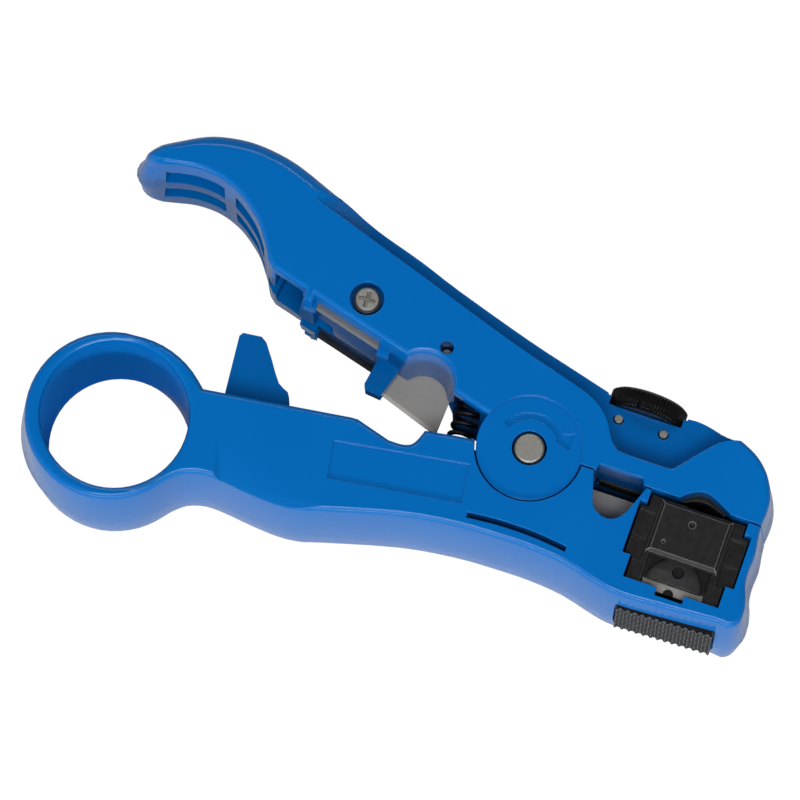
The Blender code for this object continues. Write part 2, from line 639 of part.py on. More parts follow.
def add_notches(lever):
    """The room for the spring and the cable notches along the upper jaw."""
    reach = SPRING_RADIUS + SPRING_WIRE + GAP
    boolean(lever, "spring_room", block((SPRING_X - reach, SPRING_X + reach), (-4.0, SPRING_Y[1] + GAP),
                                        (WALL, THICKNESS - WALL)))
    shallow = [(11.7, -1.0), (21.1, -1.0), (20.4, 1.3), (12.4, 1.3)]
    boolean(lever, "round_notch", prism(shallow, -1, THICKNESS + 1))
    arch = smooth([(37.6, -0.6), (36.7, 0.1), (35.0, 0.95), (33.2, 1.9), (31.6, 2.4), (30.0, 2.2),
                   (28.3, 1.1), (27.2, 0.0), (26.7, -0.6)], 3)
    boolean(lever, "coax_notch", prism(arch, -1, THICKNESS + 1))


def add_cutter(lever, steel, carrier):
    """The cable cutter blade with its screw, nut, locating pin and guard."""
    half = BLADE_THICKNESS / 2
    heel = SPRING_X - SPRING_RADIUS - SPRING_WIRE - 1.0
    shank = [(heel, 14.0), (-38.0, 20.3), (-39.4, 16.3), (-30.7, 13.2)]
    edge = [(heel - 0.9, -0.4)] + shank + [(-29.6, 3.8)]
    face = [(heel - 0.7, 0.35)] + shank + [(-29.65, 4.6)]
    room = grow(edge, [BLADE_SLOT] * len(edge))
    boolean(lever, "blade_room", prism(room, MID - half - BLADE_SLOT, MID + half + BLADE_SLOT))
    cutter = part("cutter_blade", blade(face, edge, MID, BLADE_THICKNESS), steel, carrier)
    boolean(cutter, "screw_hole", rod(SCREW_AT, SCREW_RADIUS + GAP, 10, 17, 20))
    boolean(cutter, "pin_hole", rod(PIN_AT, PIN_RADIUS + GAP, 10, 17, 16))

    guard = [(-31.4, 3.6), (-30.9, 2.6), (-28.1, 2.3), (-26.4, 8.0), (-26.4, 10.5), (-30.3, 10.5)]
    boolean(lever, "guard", prism(guard, MID + half + BLADE_SLOT, MID + GUARD_HALF), "UNION")

    floor = THICKNESS - COUNTERBORE_DEPTH
    boolean(lever, "counterbore", rod(SCREW_AT, COUNTERBORE_RADIUS, floor, THICKNESS + 1, 32))
    boolean(lever, "screw_hole", rod(SCREW_AT, SCREW_RADIUS + GAP, -1, THICKNESS + 1, 24))
    nut_top = NUT_DROP + NUT_HEIGHT
    nut_room = placed(turned([(NUT_RADIUS + GAP, -1), (NUT_RADIUS + GAP, nut_top + GAP)], 6), (*SCREW_AT, 0))
    boolean(lever, "nut_room", nut_room)
    head = floor + GAP
    crown = head + SCREW_HEAD_HEIGHT
    screw = part("blade_screw", placed(turned([
        (SCREW_RADIUS, NUT_DROP + 0.2), (SCREW_RADIUS, head), (SCREW_HEAD_RADIUS, head), (SCREW_HEAD_RADIUS, crown - 0.5),
        (SCREW_HEAD_RADIUS * 0.8, crown), (0.6, crown + 0.1)], 24), (*SCREW_AT, 0)), steel, carrier)
    boolean(screw, "drive_a", block((SCREW_AT[0] - 1.4, SCREW_AT[0] + 1.4),
                                    (SCREW_AT[1] - 0.3, SCREW_AT[1] + 0.3), (crown - 1.0, crown + 1)))
    boolean(screw, "drive_b", block((SCREW_AT[0] - 0.3, SCREW_AT[0] + 0.3),
                                    (SCREW_AT[1] - 1.4, SCREW_AT[1] + 1.4), (crown - 1.0, crown + 1)))
    nut = part("blade_nut", placed(turned([(NUT_RADIUS, NUT_DROP), (NUT_RADIUS, nut_top)], 6),
                                   (*SCREW_AT, 0)), steel, carrier)
    boolean(nut, "thread", rod(SCREW_AT, SCREW_RADIUS + GAP, 0, 5, 20))

    boolean(lever, "pin_room", rod(PIN_AT, PIN_RADIUS + 0.25, 3.0, THICKNESS + 1, 20))
    part("blade_locating_pin", rod(PIN_AT, PIN_RADIUS, 3.3, 22.0, 16), steel, carrier)


def flat_edge_y(x):
    """The height of the thumb lever's straight lower edge at x."""
    return 15.7 + (x + 52.3) * (8.5 - 15.7) / (-25.1 + 52.3)


def add_flat_cable_blades(lever, steel, carrier):
    """The two upright blades that slit flat cable."""
    half = BLADE_THICKNESS / 2
    for name, z in (("front", THICKNESS - FLAT_FROM_FACE), ("rear", FLAT_FROM_FACE)):
        low = [(FLAT_LEFT, flat_edge_y(FLAT_LEFT) - FLAT_REACH), (FLAT_RIGHT, flat_edge_y(FLAT_RIGHT) - FLAT_REACH)]
        top = [(x, y + FLAT_DEPTH + FLAT_REACH) for x, y in reversed(low)]
        for side, x in (("left", FLAT_LEFT - FLAT_BLOCK_WIDTH + 0.5), ("right", FLAT_RIGHT - 0.5)):
            wall = flat_edge_y(x + FLAT_BLOCK_WIDTH / 2)
            end = block((x, x + FLAT_BLOCK_WIDTH), (wall - FLAT_BLOCK_DROP, wall + 1.5),
                        (z - FLAT_BLOCK_HALF, z + FLAT_BLOCK_HALF))
            boolean(lever, "%s_%s_end" % (name, side), end, "UNION")
        ground = [(x, y + 0.7) for x, y in low]
        outline = low + top
        room = grow(outline, [BLADE_SLOT] * 4)
        room[0] = (room[0][0], room[0][1] - 3)
        room[1] = (room[1][0], room[1][1] - 3)
        boolean(lever, name + "_flat_slot", prism(room, z - half - BLADE_SLOT, z + half + BLADE_SLOT))
        part("flat_cable_blade_" + name, blade(ground + top, outline, z, BLADE_THICKNESS), steel, carrier)


def add_knob_group(lever, plastic, steel, carrier):
    """The depth knob, its two pins and the press pad that it drives."""
    boolean(lever, "spindle_hole", cross_rod(KNOB_X, MID, SPINDLE_RADIUS + GAP, 3.0, 16.0, 20))
    boolean(lever, "pad_room", block((PAD_LEFT - GAP, PAD_RIGHT + GAP), (-1.0, PAD_TOP_Y + PAD_TRAVEL + GAP),
                                     (MID - PAD_HALF - GAP, MID + PAD_HALF + GAP)))
    names = ("left", "right")
    for name, x in zip(names, KNOB_PIN_XS):
        at = (x, KNOB_PIN_Y)
        boolean(lever, name + "_pin_hole", rod(at, KNOB_PIN_RADIUS + 0.2, MID - 6, MID + 6, 16))
        part("knob_pin_" + name, rod(at, KNOB_PIN_RADIUS, MID - WEB_HALF - 0.1, MID + WEB_HALF + 0.1, 16),
             steel, carrier)

    turn = pivot_empty("knob_turn", (KNOB_X, WEB_EDGE_Y, MID))
    hang(turn, carrier)
    low = WEB_EDGE_Y + GAP
    teeth = []
    for i in range(KNOB_TEETH * 2):
        a = math.radians(360 * i / (KNOB_TEETH * 2))
        teeth.append((a, KNOB_RADIUS if i % 2 else KNOB_RADIUS - KNOB_TOOTH))
    chamfer = 0.7
    rows = [(chamfer, low), (0.0, low + 0.5), (0.0, low + KNOB_HEIGHT - 0.6), (chamfer, low + KNOB_HEIGHT)]
    bm = bmesh.new()
    loft(bm, [[((r - inset) * math.cos(a), (r - inset) * math.sin(a), h) for a, r in teeth]
              for inset, h in rows])
    placed(bm, (KNOB_X, 0, MID), TO_Y)
    knob = part("depth_knob", bm, plastic, turn, (KNOB_X, WEB_EDGE_Y, MID))
    boolean(knob, "spindle", cross_rod(KNOB_X, MID, SPINDLE_RADIUS, SPINDLE_TIP_Y, low + 1.0, 20), "UNION")

    pad = part("press_pad", block((PAD_LEFT, PAD_RIGHT), (PAD_BOTTOM_Y, PAD_TOP_Y),
                                  (MID - PAD_HALF, MID + PAD_HALF)), plastic, carrier)
    boolean(pad, "thread", cross_rod(KNOB_X, MID, SPINDLE_RADIUS + GAP, PAD_BOTTOM_Y + 1.0, PAD_TOP_Y + 1, 20))


def add_coax_block(lever, plastic, carrier):
    """The black block that presses coax cable on to the cassette's blades."""
    x = (26.9, 38.0)
    z = (MID - 9.2, MID + 9.2)
    top = 5.0
    boolean(lever, "coax_block_room", block((x[0] - GAP, x[1] + GAP), (-1.0, top + GAP), (z[0] - GAP, z[1] + GAP)))
    press = part("coax_press_block", block(x, (0.45, top), z), plastic, carrier)
    groove = smooth([(36.6, -0.4), (35.0, 0.5), (33.2, 1.2), (31.6, 1.5), (30.0, 1.3), (28.3, 0.4),
                     (27.3, -0.4)], 3)
    boolean(press, "groove", prism(groove, -1, THICKNESS + 1))


def add_spring(finish):
    """The compression spring that holds the handles apart."""
    curve = bpy.data.curves.new("handle_spring", "CURVE")
    curve.dimensions = "3D"
    curve.bevel_depth = SPRING_WIRE * MM
    curve.bevel_resolution = 1
    curve.use_fill_caps = True
    steps = SPRING_TURNS * 14
    spline = curve.splines.new("POLY")
    spline.points.add(steps)
    low, high = SPRING_Y
    for i in range(steps + 1):
        a = 2 * math.pi * i / 14
        y = low + SPRING_WIRE + (high - low - 2 * SPRING_WIRE) * i / steps
        spline.points[i].co = ((SPRING_X + SPRING_RADIUS * math.cos(a)) * MM, y * MM,
                               (MID + SPRING_RADIUS * math.sin(a)) * MM, 1)
    spring = bpy.data.objects.new("handle_spring", curve)
    spring.location = FRAME_SHIFT
    parts.objects.link(spring)
    curve.materials.append(finish)
    weld = spring.modifiers.new("weld", "WELD")
    weld.merge_threshold = 0.00001


for old in list(bpy.data.objects):
    bpy.data.objects.remove(old, do_unlink=True)

parts = bpy.data.collections.new("cable_stripper")
cutters = bpy.data.collections.new("cutters")
bpy.context.scene.collection.children.link(parts)
bpy.context.scene.collection.children.link(cutters)

blue = material("blue_abs", "0064b4", 0.38)
black = material("black_nylon", "1c1c1c", 0.5)
dark = material("dark_grey_plastic", "3a3a3a", 0.45)
blade_steel = material("blade_steel", "8a8680", 0.35, 1.0)
bright_steel = material("nickel_plated_steel", "b4b0a8", 0.25, 1.0)
spring_steel = material("blackened_spring_steel", "202020", 0.4, 1.0)

ring_lever = add_ring_lever(blue)
add_round_cable_blade(ring_lever, blade_steel)
add_cassette(ring_lever, black, dark, blade_steel)
add_grip_pad(ring_lever, black)
add_face_details(ring_lever)
part("pivot_rivet", turned([
    (RIVET_RADIUS - 0.3, RIVET_DROP), (RIVET_RADIUS, RIVET_DROP + 0.3),
    (RIVET_RADIUS, THICKNESS - RIVET_DROP - 0.3), (RIVET_RADIUS - 0.3, THICKNESS - RIVET_DROP)], 32), bright_steel)

handle = pivot_empty("handle_pivot", (0, 0, 0))
thumb_lever = add_thumb_lever(blue, handle)
add_notches(thumb_lever)
add_turn_arrow(thumb_lever)
add_cutter(thumb_lever, bright_steel, handle)
add_flat_cable_blades(thumb_lever, blade_steel, handle)
add_knob_group(thumb_lever, black, bright_steel, handle)
add_coax_block(thumb_lever, black, handle)
add_spring(spring_steel)
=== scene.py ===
# %% [markdown]
# A cable stripper: two blue moulded levers, a finger ring, a row of steel blades and a black cassette.
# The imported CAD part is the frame. This script keeps every piece where the frame has it and gives it
# the finish of the real one: moulded edges, ground steel, knurls and small dimples.

# %% The frame
import json
import math

import bmesh
import bpy
from mathutils import Matrix, Vector

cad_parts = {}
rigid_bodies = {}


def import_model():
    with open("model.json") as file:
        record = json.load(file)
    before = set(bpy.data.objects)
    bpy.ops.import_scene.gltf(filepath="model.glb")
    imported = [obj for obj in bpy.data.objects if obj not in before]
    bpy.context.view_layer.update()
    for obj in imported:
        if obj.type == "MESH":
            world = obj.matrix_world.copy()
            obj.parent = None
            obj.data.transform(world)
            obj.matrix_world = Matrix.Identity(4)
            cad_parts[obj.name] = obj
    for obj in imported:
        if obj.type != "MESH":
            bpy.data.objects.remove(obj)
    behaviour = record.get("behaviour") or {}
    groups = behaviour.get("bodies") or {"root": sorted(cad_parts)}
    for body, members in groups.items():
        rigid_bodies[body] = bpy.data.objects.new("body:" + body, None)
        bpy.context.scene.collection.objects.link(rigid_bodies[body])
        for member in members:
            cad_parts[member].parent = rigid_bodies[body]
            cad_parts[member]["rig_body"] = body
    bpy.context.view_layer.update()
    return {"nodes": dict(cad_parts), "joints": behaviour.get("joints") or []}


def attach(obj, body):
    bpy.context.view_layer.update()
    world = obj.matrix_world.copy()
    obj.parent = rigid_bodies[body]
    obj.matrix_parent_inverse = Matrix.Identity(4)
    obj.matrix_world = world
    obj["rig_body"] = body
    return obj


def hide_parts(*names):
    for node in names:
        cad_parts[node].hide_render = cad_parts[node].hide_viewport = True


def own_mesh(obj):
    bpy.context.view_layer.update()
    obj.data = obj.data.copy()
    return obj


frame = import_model()
MM = 0.001
THICKNESS = 27.0
MID = THICKNESS / 2
pivot = Vector(next(j for j in frame["joints"] if j["name"] == "handle_pivot")["pos_m"])
print("pivot at", tuple(round(v / MM, 2) for v in pivot), "mm")

# %% [markdown]
# All sizes below are in millimetres and are measured from the rivet's axis at the back face, as on a
# drawing of the tool: x runs to the nose, y to the knob, z to the front. One function turns such a place
# into the frame's metres and another turns it back, so that no other line has to.

# %% Places


def place(x, y, z=0.0):
    return Vector((pivot.x + x * MM, pivot.y + y * MM, z * MM))


def millimetres(point):
    return Vector(((point.x - pivot.x) / MM, (point.y - pivot.y) / MM, point.z / MM))


# %% [markdown]
# Colours are written as the sRGB hex values that a painter would pick from a screen. Shaders work with
# linear light, so one function converts them.

# %% Colours


def linear(colour):
    channels = [int(colour[i:i + 2], 16) / 255 for i in (0, 2, 4)]
    return tuple(c / 12.92 if c <= 0.04045 else ((c + 0.055) / 1.055) ** 2.4 for c in channels) + (1.0,)


def grey(value):
    return (value, value, value, 1.0)


print("screen grey 808080 is", round(linear("808080")[0], 3), "in linear light")

# %% [markdown]
# A second small function adds a shader node, sets it up and links it, which keeps each material to a few
# readable lines. A third starts a material, and puts its constants on the shader's own sockets.

# %% Node helpers


def add_node(owner, kind, settings=None, stops=(), **inputs):
    """Add a node. Settings are its properties, stops are a colour ramp's pairs of position and colour,
    and inputs are values, or sockets to link from."""
    node = owner.node_tree.nodes.new(kind)
    for key, value in (settings or {}).items():
        setattr(node, key, value)
    if stops:
        elements = node.color_ramp.elements
        while len(elements) < len(stops):
            elements.new(0.5)
        for element, (position, colour) in zip(elements, stops):
            element.position = position
            element.color = colour
    for key, value in inputs.items():
        socket = node.inputs[key.replace("_", " ")]
        if isinstance(value, bpy.types.NodeSocket):
            owner.node_tree.links.new(value, socket)
        else:
            socket.default_value = value
    return node


def feed(owner, output, node, name):
    owner.node_tree.links.new(output, node.inputs[name])


def new_material(name, **constants):
    material = bpy.data.materials.new(name)
    material.use_nodes = True
    shader = material.node_tree.nodes["Principled BSDF"]
    for key, value in constants.items():
        shader.inputs[key.replace("_", " ")].default_value = value
    return material, shader


print("helpers ready; materials so far:", len(bpy.data.materials))

# %% [markdown]
# The levers are moulded ABS, dyed right through, so the blue hardly changes from place to place. The mould
# was polished and then lightly etched: a grain about 0.16 mm across keeps the reflections soft. Small edges
# of the mould are never sharp. The big ones are modelled; a Bevel node turns the normals round on the
# smallest ones, 0.25 mm wide, which gives each its fine line of light without thousands of faces.

# %% Satin blue ABS
PLASTIC_IOR = 1.53
PLASTIC_SPECULAR = 0.16
CLOUD_SIZE = 18.0
ABS_GRAIN = 0.16
ABS_EDGE = 0.25

blue_abs, shader = new_material("satin_moulded_blue_abs", IOR=PLASTIC_IOR,
                                Specular_IOR_Level=PLASTIC_SPECULAR)
where = add_node(blue_abs, "ShaderNodeTexCoord").outputs["Object"]
clouds = add_node(blue_abs, "ShaderNodeTexNoise", Vector=where, Scale=1 / (CLOUD_SIZE * MM), Detail=2.0)
dye = add_node(blue_abs, "ShaderNodeValToRGB", stops=[(0.35, linear("005ca4")), (0.65, linear("005ea6"))],
               Fac=clouds.outputs["Fac"])
feed(blue_abs, dye.outputs["Color"], shader, "Base Color")
grain = add_node(blue_abs, "ShaderNodeTexNoise", Vector=where, Scale=1 / (ABS_GRAIN * MM), Detail=2.0,
                 Roughness=0.6)
gloss = add_node(blue_abs, "ShaderNodeValToRGB", stops=[(0.3, grey(0.13)), (0.7, grey(0.2))],
                 Fac=grain.outputs["Fac"])
feed(blue_abs, gloss.outputs["Color"], shader, "Roughness")
edge = add_node(blue_abs, "ShaderNodeBevel", {"samples": 6}, Radius=ABS_EDGE * MM)
bump = add_node(blue_abs, "ShaderNodeBump", Strength=0.05, Distance=0.05 * MM, Height=grain.outputs["Fac"],
                Normal=edge.outputs["Normal"])
feed(blue_abs, bump.outputs["Normal"], shader, "Normal")
print(blue_abs.name, "has", len(blue_abs.node_tree.nodes), "nodes")

# %% [markdown]
# The cassette, the knob and the pads are glass-filled nylon. It is black but never quite even: the surface
# has a faint flow grain, about a millimetre across, and its gloss changes with it. Every edge gets a pale
# painted highlight, the fine line of light that a black part is seen by. A Bevel node's normal leaves the
# true one only near an edge, so how far the two agree tells where to mix in the painted highlight.

# %% Black nylon
NYLON_FLOW = 1.2
NYLON_GRAIN = 0.12
NYLON_EDGE = 0.15
# A Mix node has colour sockets of the same names as its others, so they are picked by number.
COLOUR_A, COLOUR_B, COLOUR_RESULT = 6, 7, 2


def black_nylon(name, body, pale, shine, edge_highlight="8a8a8a", edge_highlight_width=0.22):
    material, shader = new_material(name, IOR=PLASTIC_IOR, Specular_IOR_Level=PLASTIC_SPECULAR)
    where = add_node(material, "ShaderNodeTexCoord").outputs["Object"]
    flow = add_node(material, "ShaderNodeTexNoise", Vector=where, Scale=1 / (NYLON_FLOW * MM), Detail=4.0)
    cloud = add_node(material, "ShaderNodeValToRGB", stops=[(0.3, linear(body)), (0.75, linear(pale))],
                     Fac=flow.outputs["Fac"])
    soft = add_node(material, "ShaderNodeBevel", {"samples": 8}, Radius=edge_highlight_width * MM)
    true = add_node(material, "ShaderNodeNewGeometry")
    agree = add_node(material, "ShaderNodeVectorMath", {"operation": "DOT_PRODUCT"})
    feed(material, soft.outputs["Normal"], agree, 0)
    feed(material, true.outputs["Normal"], agree, 1)
    # Painted highlight: the pale colour is mixed in along every edge as a line of light.
    painted_highlight_mask = add_node(material, "ShaderNodeValToRGB", stops=[(0.9, grey(1.0)), (0.99, grey(0.0))],
                    Fac=agree.outputs["Value"])
    mixed = add_node(material, "ShaderNodeMix", {"data_type": "RGBA"})
    feed(material, painted_highlight_mask.outputs["Color"], mixed, "Factor")
    feed(material, cloud.outputs["Color"], mixed, COLOUR_A)
    mixed.inputs[COLOUR_B].default_value = linear(edge_highlight)
    feed(material, mixed.outputs[COLOUR_RESULT], shader, "Base Color")
    gloss = add_node(material, "ShaderNodeValToRGB", stops=[(0.3, grey(shine)), (0.7, grey(shine + 0.12))],
                     Fac=flow.outputs["Fac"])
    feed(material, gloss.outputs["Color"], shader, "Roughness")
    edge = add_node(material, "ShaderNodeBevel", {"samples": 6}, Radius=NYLON_EDGE * MM)
    grain = add_node(material, "ShaderNodeTexNoise", Vector=where, Scale=1 / (NYLON_GRAIN * MM), Detail=1.0)
    bump = add_node(material, "ShaderNodeBump", Strength=0.06, Distance=0.04 * MM,
                    Height=grain.outputs["Fac"], Normal=edge.outputs["Normal"])
    feed(material, bump.outputs["Normal"], shader, "Normal")
    return material


# The last colour of each is the painted highlight along its edges, 8a8a8a where none is given.
nylon = black_nylon("black_glass_filled_nylon", "161616", "1c1c1c", 0.36)
knob_nylon = black_nylon("black_polished_nylon", "080808", "0c0c0c", 0.24, "303030", 0.12)
grip_nylon = black_nylon("black_knurled_nylon", "0a0a0a", "101010", 0.3, "6c6e72", 0.16)
dome_nylon = black_nylon("dark_grey_nylon", "2e2e2e", "383838", 0.4, "4a4a4a")
print("nylons:", nylon.name, knob_nylon.name, grip_nylon.name, dome_nylon.name)

# %% [markdown]
# Blade steel is ground after hardening. The wheel leaves straight scratches about 0.05 mm apart across the
# blade, drawn here at 0.2 mm so that they show. They stretch the reflections, which a bump and a streaked
# roughness give. A metal keeps the default index of refraction: its colour does the work.

# %% Ground steel
SCRATCH_PITCH = 0.2
# Scales of the pattern along X, Y and Z: a small one draws the scratches out along its axis.
ALONG_X, ALONG_Z, EVEN = (0.06, 1.0, 1.0), (1.0, 1.0, 0.2), (1.0, 1.0, 1.0)


def ground_steel(name, body, pale, lay, roughness):
    material, shader = new_material(name, Metallic=1.0)
    where = add_node(material, "ShaderNodeTexCoord").outputs["Object"]
    drawn_out = add_node(material, "ShaderNodeMapping", Vector=where, Scale=lay)
    scratches = add_node(material, "ShaderNodeTexNoise", Vector=drawn_out.outputs["Vector"],
                         Scale=1 / (SCRATCH_PITCH * MM), Detail=3.0, Roughness=0.7)
    colours = add_node(material, "ShaderNodeValToRGB", stops=[(0.3, linear(body)), (0.7, linear(pale))],
                       Fac=scratches.outputs["Fac"])
    feed(material, colours.outputs["Color"], shader, "Base Color")
    gloss = add_node(material, "ShaderNodeValToRGB",
                     stops=[(0.3, grey(roughness)), (0.7, grey(roughness + 0.15))],
                     Fac=scratches.outputs["Fac"])
    feed(material, gloss.outputs["Color"], shader, "Roughness")
    bump = add_node(material, "ShaderNodeBump", Strength=0.12, Distance=0.02 * MM,
                    Height=scratches.outputs["Fac"])
    feed(material, bump.outputs["Normal"], shader, "Normal")
    return material


# The round-cable blade's steel is paler than the other blades': painted light that makes up for the shade of
# the deep window it lies in.
window_steel_painted_light = ground_steel("pale_ground_steel_painted_light", "b8b6b2", "d0ceca", ALONG_X, 0.72)
flat_steel = ground_steel("grey_ground_steel", "606266", "707276", ALONG_X, 0.5)
blade_steel = ground_steel("ground_blade_steel", "9a9792", "aaa7a2", ALONG_X, 0.5)
# The rear flat-cable blade's steel is near-black: painted shade for the dark slot behind the front blade.
rear_blade_steel_painted_shade = ground_steel("ground_steel_painted_shade", "1c1e22", "282a2e", ALONG_X, 0.45)
plated_steel = ground_steel("nickel_plated_steel", "86847f", "96948f", ALONG_Z, 0.4)
spring_wire = ground_steel("blackened_spring_steel", "2c2c2e", "434346", EVEN, 0.4)
print("materials in all:", len(bpy.data.materials))

# %% [markdown]
# The frame's pieces have the right shape but knife-sharp edges, and no real moulding or stamping has
# those. Each is copied first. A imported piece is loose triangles, so the copy's doubles are merged and its
# flat faces joined again. Only faces that lie within 0.04 degrees of each other are joined: with a looser
# limit a slightly warped wall becomes one face, and a later cut tears a hole in it.

# %% Copies of the frame's pieces
WELD_DISTANCE = 0.004
FLAT_LIMIT = math.radians(0.04)


def join_flat_faces(shape):
    bmesh.ops.dissolve_limit(shape, angle_limit=FLAT_LIMIT, verts=shape.verts, edges=shape.edges)


def merged_copy(name):
    shape = bmesh.new()
    shape.from_mesh(frame["nodes"][name].data)
    bmesh.ops.remove_doubles(shape, verts=shape.verts, dist=WELD_DISTANCE * MM)
    join_flat_faces(shape)
    return shape


print("pieces to copy from:", len(frame["nodes"]))

# %% [markdown]
# One function finishes a piece. Creases are marked sharp and the rest is smooth. A small bevel may round
# the creases. The Weighted Normal modifier then lets the big faces lead, so a flat face stays flat right up
# to its rounded edge. The piece rides with a body of the frame and stands for a node, which stays hidden
# for the physics.

# %% Finished pieces
FADING_CREASE = 4.0


def to_object(shape, name):
    mesh = bpy.data.meshes.new(name)
    shape.to_mesh(mesh)
    shape.free()
    piece = bpy.data.objects.new(name, mesh)
    bpy.context.scene.collection.objects.link(piece)
    return piece


def show(name, shape, material, node, crease=38.0, radius=0.0, weight=50, crisp=None):
    """Crease is in degrees. Crisp is a test for edges that stay sharp at a smaller angle than that."""
    for edge in shape.edges:
        if edge.is_manifold:
            angle = math.degrees(edge.calc_face_angle())
            kept_crisp = crisp is not None and angle > FADING_CREASE and crisp(edge)
            edge.smooth = angle < crease and not kept_crisp
    piece = to_object(shape, name)
    piece.data.materials.append(material)
    piece.data.polygons.foreach_set("use_smooth", [True] * len(piece.data.polygons))
    if radius:
        rounding = piece.modifiers.new("small_edges", "BEVEL")
        rounding.width = radius * MM
        rounding.segments = 2
        rounding.limit_method = "ANGLE"
        rounding.angle_limit = math.radians(crease)
    even = piece.modifiers.new("even_faces", "WEIGHTED_NORMAL")
    even.mode = "FACE_AREA"
    even.keep_sharp = True
    even.weight = weight
    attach(piece, frame["nodes"][node]["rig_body"])
    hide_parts(node)
    return piece


# %% [markdown]
# A piece is changed as in a workshop: a box or a rod is cut out of it, or joined on, and edges that lie in
# a chosen place are rounded. Blender's exact Boolean does the cutting, since it keeps flat faces flat. The
# rounding picks its edges by a test on the place of both ends, so no edge has to be known by its number.

# %% Cutting and rounding
TO_Y = Matrix.Rotation(-math.pi / 2, 3, "X")
SHARP_EDGE = math.radians(38)


def carved(shape, tool, operation="DIFFERENCE"):
    base, knife = to_object(shape, "base"), to_object(tool, "knife")
    cut = base.modifiers.new("cut", "BOOLEAN")
    cut.operation = operation
    cut.solver = "EXACT"
    cut.object = knife
    result = bpy.data.meshes.new_from_object(base.evaluated_get(bpy.context.evaluated_depsgraph_get()))
    bpy.data.objects.remove(base)
    bpy.data.objects.remove(knife)
    out = bmesh.new()
    out.from_mesh(result)
    bpy.data.meshes.remove(result)
    return out


def box_shape(x, y, z):
    """A box between three pairs of limits."""
    box = bmesh.new()
    bmesh.ops.create_cube(box, size=1.0)
    bmesh.ops.scale(box, vec=((x[1] - x[0]) * MM, (y[1] - y[0]) * MM, (z[1] - z[0]) * MM), verts=box.verts)
    bmesh.ops.translate(box, vec=place(sum(x) / 2, sum(y) / 2, sum(z) / 2), verts=box.verts)
    return box


def rod_shape(at, radius, low, high, steps, along_y=False):
    """A cylinder along Z with its axis at (x, y), or along Y with its axis at (x, z)."""
    rod = bmesh.new()
    bmesh.ops.create_cone(rod, cap_ends=True, segments=steps, radius1=radius * MM, radius2=radius * MM,
                          depth=(high - low) * MM)
    middle = (low + high) / 2
    if along_y:
        bmesh.ops.rotate(rod, verts=rod.verts, matrix=TO_Y)
        bmesh.ops.translate(rod, vec=place(at[0], middle, at[1]), verts=rod.verts)
    else:
        bmesh.ops.translate(rod, vec=place(at[0], at[1], middle), verts=rod.verts)
    return rod


def round_edges(shape, wanted, radius, segments):
    edges = [e for e in shape.edges if e.is_manifold and e.calc_face_angle() > SHARP_EDGE
             and all(wanted(millimetres(v.co)) for v in e.verts)]
    bmesh.ops.bevel(shape, geom=edges, offset=radius * MM, offset_type="OFFSET", segments=segments,
                    profile=0.5, affect="EDGES", clamp_overlap=False, material=-1)
    return len(edges)


print("edges sharper than", round(math.degrees(SHARP_EDGE)), "degrees can be rounded")

# %% [markdown]
# The thumb lever comes first. Its knob turns in a round pocket in the web between the levers' faces. The
# web is built up with a box there, and the pocket is cut out of it again with a rod a little wider than the
# knob. The bracket that holds the rear blade of the flat-cable gap is then trimmed at its end.

# %% Thumb lever: the knob's pocket
KNOB_X = 16.5
KNOB_RADIUS = 6.9
POCKET_GAP = 0.35
WEB_EDGE_Y = 14.3
WEB_HALF = 3.0

thumb = merged_copy("thumb_lever")
web_block = box_shape((8.6, 24.4), (12.6, 15.9), (MID - WEB_HALF, MID + WEB_HALF))
thumb = carved(thumb, web_block, "UNION")
knob_room = rod_shape((KNOB_X, MID), KNOB_RADIUS + POCKET_GAP, WEB_EDGE_Y, 24.0, 64, along_y=True)
thumb = carved(thumb, knob_room)
join_flat_faces(thumb)
bracket_end = box_shape((-46.5, -44.3), (8.0, 13.3), (2.0, 5.4))
thumb = carved(thumb, bracket_end)
join_flat_faces(thumb)
print("thumb lever:", len(thumb.faces), "faces")

# %% [markdown]
# The tip of the hook is full at the back and domed at the front. Points near it are pushed away from a
# centre in the tip, as with proportional editing: most at the very end and at the back, fading to nothing
# towards the front and along the hook. A second, smaller shift lifts the hook's upper side.

# %% Thumb lever: the tip of the hook
TIP_CENTRE = Vector((-74.0, 29.0))
TIP_PUSH = 1.3
TIP_LIFT = 0.4


def eased(value, start, end):
    """Rises from 0 at the start to 1 at the end, with a soft beginning and a soft stop."""
    t = min(max((value - start) / (end - start), 0.0), 1.0)
    return t * t * (3 - 2 * t)


for vert in thumb.verts:
    spot = millimetres(vert.co)
    outward = (spot.xy - TIP_CENTRE).normalized()
    push = outward * TIP_PUSH * eased(spot.x, -73.5, -78.5) * eased(spot.z, 16.0, 4.0)
    lift = TIP_LIFT * eased(spot.x, -45.0, -53.0) * eased(spot.x, -80.0, -72.0) * eased(spot.y, 29.0, 31.0)
    vert.co += Vector((push.x, push.y + lift, 0)) * MM
print("the hook's tip is pushed out by up to", TIP_PUSH, "mm")

# %% [markdown]
# In the real moulding the recess round the knob has a soft brim and a soft foot, so light rolls into it.
# The edges of the brim lie in the front and back faces, and those of the foot on the web. The foot's
# rounding stops short of the pin holes, which it would run into.

# %% Thumb lever: the recess
BRIM_ROUNDING = 0.35
FOOT_ROUNDING = 2.2


def recess_brim(spot):
    on_a_face = spot.z > THICKNESS - 0.05 or spot.z < 0.05
    return on_a_face and 11.4 < spot.x < 31.0 and 4.0 < spot.y < 12.2


def recess_foot(spot):
    on_the_web = abs(abs(spot.z - MID) - WEB_HALF) < 0.3
    return on_the_web and 9.0 < spot.x < 33.0 and 3.0 < spot.y < 11.0


brim_edges = round_edges(thumb, recess_brim, BRIM_ROUNDING, 2)
foot_edges = round_edges(thumb, recess_foot, FOOT_ROUNDING, 5)
print("recess edges rounded:", brim_edges, foot_edges)

